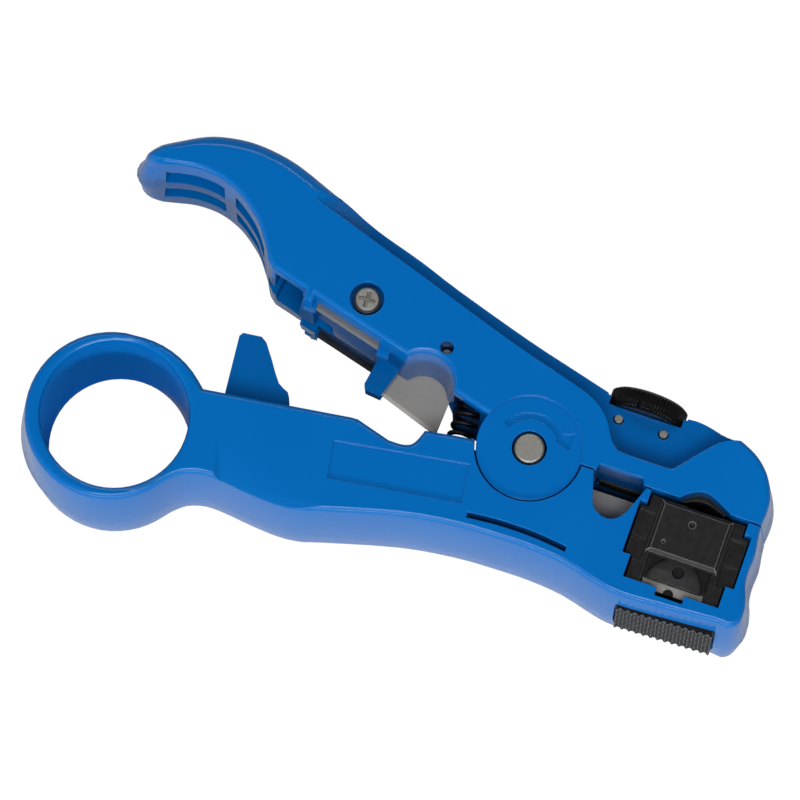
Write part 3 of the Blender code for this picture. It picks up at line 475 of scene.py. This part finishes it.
# %% [markdown]
# Along the straight upper side of the lever its flat faces meet a step that fades out. A crease as shallow
# as that would be shaded smooth and leave a dark smear on the face, so its edges are kept crisp.

# %% Thumb lever: the finished lever


def on_step_line(edge):
    by_flat_face = any(abs(f.normal.z) > 0.9995 for f in edge.link_faces)
    ends = [millimetres(v.co) for v in edge.verts]
    return by_flat_face and all(-48 < spot.x < 8 and spot.y > 9 for spot in ends)


print("edges on the step's line:", sum(e.is_manifold and on_step_line(e) for e in thumb.edges))
show("thumb_lever_finished", thumb, blue_abs, "thumb_lever", weight=62, crisp=on_step_line)

# %% [markdown]
# The ring lever keeps the frame's shape. Only the pocket for the knurled grip pad is opened wider, since the
# real pad covers a little more than half of the nose's thickness.

# %% Ring lever
PAD_X = (22.9, 40.2)
PAD_HALF = 7.4
PAD_GAP = 0.2
pad_pocket = box_shape((PAD_X[0] - PAD_GAP, PAD_X[1] + PAD_GAP), (-24.0, -18.6),
                       (MID - PAD_HALF - PAD_GAP, MID + PAD_HALF + PAD_GAP))
ring = carved(merged_copy("ring_lever"), pad_pocket)
join_flat_faces(ring)
print("ring lever:", len(ring.faces), "faces")
show("ring_lever_finished", ring, blue_abs, "ring_lever", weight=62)

# %% [markdown]
# The grip pad has a diamond knurl. A grid turned by 45 degrees and stretched gives the diamonds, and poking
# every face with an offset raises each into a small pyramid. The sheet is then cut to the pad's rectangle
# with four planes, and its border is pulled back and closed to make it a solid pad.

# %% Grip pad
KNURL_ROWS = 30
DIAMOND = (1.3, 3.8)
PYRAMID = 0.5
PAD_DEPTH = 1.2
PAD_Y = -20.12
PAD_RISE = 0.65
pad_width = PAD_X[1] - PAD_X[0]

pad = bmesh.new()
# A square of this size has a diagonal of one unit, which DIAMOND then stretches.
one_diagonal = math.sqrt(0.5)
bmesh.ops.create_grid(pad, x_segments=KNURL_ROWS, y_segments=KNURL_ROWS, size=KNURL_ROWS / 2 * one_diagonal)
bmesh.ops.rotate(pad, verts=pad.verts, matrix=Matrix.Rotation(math.pi / 4, 3, "Z"))
bmesh.ops.scale(pad, vec=(DIAMOND[0] * MM, DIAMOND[1] * MM, 1.0), verts=pad.verts)
bmesh.ops.poke(pad, faces=pad.faces, offset=PYRAMID * MM)
for side, limit in ((Vector((1, 0, 0)), pad_width / 2), (Vector((0, 1, 0)), PAD_HALF)):
    for sign in (-1, 1):
        bmesh.ops.bisect_plane(pad, geom=pad.verts[:] + pad.edges[:] + pad.faces[:], clear_outer=True,
                               plane_co=side * sign * limit * MM, plane_no=side * sign)
border = [e for e in pad.edges if e.is_boundary]
skirt = bmesh.ops.extrude_edge_only(pad, edges=border)["geom"]
for vert in [g for g in skirt if isinstance(g, bmesh.types.BMVert)]:
    vert.co.z = -PAD_DEPTH * MM
bmesh.ops.edgeloop_fill(pad, edges=[g for g in skirt if isinstance(g, bmesh.types.BMEdge)])
bmesh.ops.recalc_face_normals(pad, faces=pad.faces)
bmesh.ops.rotate(pad, verts=pad.verts, matrix=Matrix.Rotation(math.pi / 2, 3, "X"))
bmesh.ops.rotate(pad, verts=pad.verts, matrix=Matrix.Rotation(math.atan2(PAD_RISE, pad_width), 3, "Z"))
bmesh.ops.translate(pad, vec=place(sum(PAD_X) / 2, PAD_Y, MID), verts=pad.verts)
print("grip pad:", len(pad.faces), "faces")
show("grip_pad_knurled", pad, grip_nylon, "grip_pad", crease=20.0)

# %% [markdown]
# The depth knob is turned, then knurled with 72 straight teeth. A circle with every second point pulled in
# gives the toothed outline. Extruding it step by step, with a smaller first and last step, leaves the two
# chamfers, the lower of which catches a long curved glint. The spindle below it is a plain rod.

# %% Depth knob
KNOB_TEETH = 72
KNOB_TOOTH = 0.22
KNOB_CHAMFER = 0.75
KNOB_LOW, KNOB_HIGH = WEB_EDGE_Y + 0.1, WEB_EDGE_Y + 3.7
LOWER_CHAMFER_RISE, UPPER_CHAMFER_RISE = 0.55, 0.5
DISH_RIM, DISH_DEPTH = 1.2, 0.35
SPINDLE_RADIUS = 1.0
SPINDLE_END_Y = 5.0

knob = bmesh.new()
outline = bmesh.ops.create_circle(knob, cap_ends=True, segments=KNOB_TEETH * 2, radius=KNOB_RADIUS * MM)
for number, vert in enumerate(outline["verts"]):
    if number % 2:
        vert.co *= 1 - KNOB_TOOTH / KNOB_RADIUS
narrower = 1 - KNOB_CHAMFER / KNOB_RADIUS
bmesh.ops.scale(knob, vec=(narrower, narrower, 1.0), verts=knob.verts)
straight = KNOB_HIGH - KNOB_LOW - LOWER_CHAMFER_RISE - UPPER_CHAMFER_RISE
top = knob.faces[:]
for rise, factor in ((LOWER_CHAMFER_RISE, 1 / narrower), (straight, 1.0), (UPPER_CHAMFER_RISE, narrower)):
    step = bmesh.ops.extrude_face_region(knob, geom=top)["geom"]
    top = [g for g in step if isinstance(g, bmesh.types.BMFace)]
    rim = [g for g in step if isinstance(g, bmesh.types.BMVert)]
    bmesh.ops.translate(knob, vec=(0, 0, rise * MM), verts=rim)
    bmesh.ops.scale(knob, vec=(factor, factor, 1.0), verts=rim)
bmesh.ops.inset_region(knob, faces=top, thickness=DISH_RIM * MM, depth=-DISH_DEPTH * MM)
bmesh.ops.recalc_face_normals(knob, faces=knob.faces)
bmesh.ops.rotate(knob, verts=knob.verts, matrix=TO_Y)
bmesh.ops.translate(knob, vec=place(KNOB_X, KNOB_LOW, MID), verts=knob.verts)
spindle = rod_shape((KNOB_X, MID), SPINDLE_RADIUS, SPINDLE_END_Y, KNOB_LOW + 1.0, 24, along_y=True)
knob = carved(knob, spindle, "UNION")
print("knob:", len(knob.faces), "faces")
show("depth_knob_knurled", knob, knob_nylon, "depth_knob", crease=28.0)

# %% [markdown]
# The handle spring is a round wire bent into seven turns. Spinning a small circle about the spring's axis,
# with a little climb at every step, sweeps it along the helix in one operation. The real spring shortens
# when the handles close. The wire is round all over and has no flat faces to even out, so the modifier
# comes off again.

# %% Handle spring
SPRING_AT = (-12.8, MID)
SPRING_Y = (-6.2, 7.6)
SPRING_RADIUS, SPRING_WIRE, SPRING_TURNS = 1.95, 0.45, 7
STEPS_PER_TURN = 24

coil = bmesh.new()
bmesh.ops.create_circle(coil, cap_ends=False, segments=10, radius=SPRING_WIRE * MM)
bmesh.ops.translate(coil, vec=(SPRING_RADIUS * MM, 0, 0), verts=coil.verts)
steps = SPRING_TURNS * STEPS_PER_TURN
climb = (SPRING_Y[1] - SPRING_Y[0] - 2 * SPRING_WIRE) / steps * MM
bmesh.ops.spin(coil, geom=coil.edges[:], cent=(0, 0, 0), axis=(0, 1, 0), dvec=(0, climb, 0),
               angle=math.radians(360 * SPRING_TURNS), steps=steps, use_merge=False)
bmesh.ops.holes_fill(coil, edges=[e for e in coil.edges if e.is_boundary])
bmesh.ops.recalc_face_normals(coil, faces=coil.faces)
bmesh.ops.translate(coil, vec=place(SPRING_AT[0], SPRING_Y[0] + SPRING_WIRE, MID), verts=coil.verts)
print("spring:", len(coil.faces), "faces")
spring = show("handle_spring_coil", coil, spring_wire, "handle_spring", crease=60.0)
spring.modifiers.clear()
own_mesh(spring)

# %% [markdown]
# The blade clamp is half of a shallow dome, moulded in dark grey plastic, with a round hole for the tool
# that fitted it. Half a turn of its profile makes the dome, and the flat side is filled.

# %% Blade clamp
DOME_AT = (30.95, -14.5)
DOME_FOOT = THICKNESS - 3.4
# Pairs of radius and height, from the crown down to the foot.
DOME_PROFILE = [(0.02, 1.45), (1.6, 1.4), (3.1, 1.2), (4.3, 0.85), (4.75, 0.62), (4.98, 0.3), (5.0, 0.0),
                (0.02, 0.0)]
DOME_HOLE_AT = (31.2, -12.05)
DOME_HOLE_RADIUS = 1.15

dome = bmesh.new()
points = [dome.verts.new((radius * MM, 0, height * MM)) for radius, height in DOME_PROFILE]
for first, second in zip(points, points[1:] + points[:1]):
    dome.edges.new((first, second))
bmesh.ops.spin(dome, geom=dome.verts[:] + dome.edges[:], cent=(0, 0, 0), axis=(0, 0, 1), angle=math.pi,
               steps=32)
bmesh.ops.holes_fill(dome, edges=[e for e in dome.edges if e.is_boundary])
bmesh.ops.recalc_face_normals(dome, faces=dome.faces)
bmesh.ops.translate(dome, vec=place(*DOME_AT, DOME_FOOT), verts=dome.verts)
dome = carved(dome, rod_shape(DOME_HOLE_AT, DOME_HOLE_RADIUS, DOME_FOOT - 1, THICKNESS, 32))
print("blade clamp:", len(dome.faces), "faces")
show("blade_clamp_dome", dome, dome_nylon, "blade_clamp_plate", crease=50.0)

# %% [markdown]
# The cassette's cover has two small round marks, a dimple where the mould was filled and a pin mark beside
# it. Both are cut with balls that sink a little way into its top. Its bevelled rim is in the frame's shape.

# %% Cassette cover
COVER_TOP = THICKNESS + 0.5
# Place, ball's radius and depth of each mark.
COVER_MARKS = (((30.9, -3.9), 0.75, 0.35), ((27.1, -8.2), 0.35, 0.2))

cover = merged_copy("cassette_cover")
for at, radius, depth in COVER_MARKS:
    ball = bmesh.new()
    bmesh.ops.create_icosphere(ball, subdivisions=3, radius=radius * MM)
    bmesh.ops.translate(ball, vec=place(*at, COVER_TOP + radius - depth), verts=ball.verts)
    cover = carved(cover, ball)
print("cassette cover:", len(cover.faces), "faces")
show("cassette_cover_finished", cover, nylon, "cassette_cover", crease=30.0)

# %% [markdown]
# The other pieces have the right shape already. Each gets rounded edges of a size that suits it, from a
# twentieth of a millimetre on a blade to about a fifth on a moulded block.

# %% The other pieces
BLADE_EDGE = 0.05
finishes = {
    "cassette_body": (nylon, 0.22), "coax_press_block": (nylon, 0.2), "press_pad": (nylon, 0.2),
    # The round-cable blade gets the paler steel, painted light for its deep window.
    "round_cable_blade": (window_steel_painted_light, BLADE_EDGE), "coax_blade_front": (blade_steel, BLADE_EDGE),
    "coax_blade_middle": (blade_steel, BLADE_EDGE), "coax_blade_rear": (blade_steel, BLADE_EDGE),
    # The rear flat-cable blade gets the near-black steel, painted shade for its dark slot.
    "flat_cable_blade_front": (flat_steel, BLADE_EDGE), "flat_cable_blade_rear": (rear_blade_steel_painted_shade, BLADE_EDGE),
    "cutter_blade": (blade_steel, BLADE_EDGE),
    "pivot_rivet": (plated_steel, 0.15), "blade_screw": (plated_steel, 0.1),
    "blade_nut": (plated_steel, 0.15), "blade_locating_pin": (plated_steel, 0.1),
    "knob_pin_left": (plated_steel, 0.1), "knob_pin_right": (plated_steel, 0.1),
}
for node_name, (finish, radius) in finishes.items():
    show(node_name + "_finished", merged_copy(node_name), finish, node_name, radius=radius)
print(len(finishes), "more pieces finished")

# %% [markdown]
# The tool lies on a white sweep. The floor is two sheets: the sweep glows evenly and only the camera sees
# it, and a plain white board under it gives the walls their soft bounced light.

# %% Table


def floor_plane(name, depth, colour, glow):
    bpy.ops.mesh.primitive_plane_add(size=3.0, location=(0, 0, -depth * MM))
    plane = bpy.context.object
    plane.name = name
    material, shader = new_material(name, Base_Color=grey(colour), Roughness=0.9, Specular_IOR_Level=0.1,
                                    Emission_Color=grey(1.0), Emission_Strength=glow)
    plane.data.materials.append(material)
    return plane


sweep = floor_plane("white_lit_sweep", 0.1, 0.03, 1.0)
sweep.visible_diffuse = sweep.visible_glossy = sweep.visible_shadow = False
board = floor_plane("white_bounce_board", 0.3, 0.52, 0.0)
board.visible_camera = False
print("floor:", sweep.name, "for the camera and", board.name, "for the light")

# %% [markdown]
# Through the finger ring and the cable throat the white board would shine on the inner walls and make
# their blue pale. A small matt blue card under each opening keeps it deep, as a photographer might do. The
# camera doesn't see the cards.

# %% Blue cards
card_blue = new_material("matt_blue_card", Base_Color=linear("1890f0"), Roughness=0.9)[0]
for name, x, y, radius in (("card_under_ring", -70.1, -18.2, 12.5), ("card_under_throat", -23.5, 5.0, 6.5)):
    bpy.ops.mesh.primitive_circle_add(radius=radius * MM, fill_type="NGON", location=place(x, y, -0.2))
    card = bpy.context.object
    card.name = name
    card.data.materials.append(card_blue)
    card.visible_camera = False
    print(name, "is", 2 * radius, "mm across")

# %% [markdown]
# Round it all stands a light tent, which is the world's background. It is bright low down and dim overhead,
# so that the flat faces and the steel, which mirror the top of it, stay deep in colour, while the walls turn
# pale. Its back is darker than its front: the camera leans to the front, so the flat faces mirror what is
# up behind them, and the walls that it sees mirror the front.

# %% The light tent
TENT = [(0.0, 0.5), (0.5, 0.46), (0.75, 0.26), (0.87, 0.12), (1.0, 0.1)]
TENT_POWER = 2.9
DARK_BACK = 0.3
# Y of the directions where the change from the back to the front starts and ends.
BACK_FROM, FRONT_FROM = 0.28125, -0.34375

world = bpy.data.worlds.new("light_tent")
bpy.context.scene.world = world
world.use_nodes = True
background = world.node_tree.nodes["Background"]
direction = add_node(world, "ShaderNodeTexCoord").outputs["Generated"]
axes = add_node(world, "ShaderNodeSeparateXYZ", Vector=direction)
height = add_node(world, "ShaderNodeMapRange", Value=axes.outputs["Z"], From_Min=-1.0)
levels = add_node(world, "ShaderNodeValToRGB", stops=[(position, grey(level)) for position, level in TENT],
                  Fac=height.outputs["Result"])
feed(world, levels.outputs["Color"], background, "Color")
power = add_node(world, "ShaderNodeMapRange", Value=axes.outputs["Y"], From_Min=BACK_FROM,
                 From_Max=FRONT_FROM, To_Min=TENT_POWER * DARK_BACK, To_Max=TENT_POWER)
feed(world, power.outputs["Result"], background, "Strength")
print("light tent: power", TENT_POWER, "in front and", round(TENT_POWER * DARK_BACK, 2), "behind")

# %% [markdown]
# Three lamps hang in the tent. A long low strip in front draws a fine white line along each rounded edge
# that faces it. A second one behind does the same for the back of the hook. A softbox high up is the main
# light, and it gives the open faces their even blue.

# %% Lamps
LAMPS_AIM = Vector((0, 0, 0.01))


def soft_lamp(name, at, length, width, power):
    light = bpy.data.lights.new(name, "AREA")
    light.shape = "RECTANGLE"
    light.size = length
    light.size_y = width
    light.energy = power
    lamp = bpy.data.objects.new(name, light)
    bpy.context.scene.collection.objects.link(lamp)
    lamp.location = at
    lamp.rotation_euler = (LAMPS_AIM - Vector(at)).to_track_quat("-Z", "Y").to_euler()
    print(name, "at", at, "with", power, "W")


soft_lamp("front_strip", (0.1, -0.8, 0.26), 0.9, 0.04, 4.6)
soft_lamp("back_strip", (-0.2, 0.5, 0.62), 0.6, 0.12, 1.6)
soft_lamp("key_softbox", (0.12, -0.36, 0.95), 0.45, 0.3, 6.2)

# %% [markdown]
# The photograph was taken from almost straight above, about 13 degrees off towards the finger ring, with a
# long lens. The camera's axes are built from that: right lies along the tool's own tilt in the picture.

# %% Camera
TURN = math.radians(19.2)
ELEVATION = math.radians(76.5)
PICTURE_WIDTH = 800
PIXELS_PER_MM = 5.8
FOCAL_PIXELS = 7400.0

camera_data = bpy.data.cameras.new("camera")
camera = bpy.data.objects.new("camera", camera_data)
bpy.context.scene.collection.objects.link(camera)
bpy.context.scene.camera = camera
camera_data.sensor_width = 36.0
camera_data.lens = FOCAL_PIXELS / PICTURE_WIDTH * camera_data.sensor_width
camera_data.clip_end = 10.0
right = Vector((math.cos(TURN), math.sin(TURN), 0))
level_toward = Vector((math.sin(TURN), -math.cos(TURN), 0)) * math.cos(ELEVATION)
toward = level_toward + Vector((0, 0, math.sin(ELEVATION)))
up = toward.cross(right)
picture_centre = place(-23.8, 0.6, THICKNESS)
distance = FOCAL_PIXELS / PIXELS_PER_MM * MM
camera.matrix_world = Matrix((right, up, toward)).transposed().to_4x4()
camera.location = picture_centre + toward * distance
bpy.context.scene.view_settings.view_transform = "Standard"
print("camera", round(distance, 3), "m away, lens", round(camera_data.lens), "mm")

# %% [markdown]
# The last cell ends the script.

# %% The end
print("scene finished")
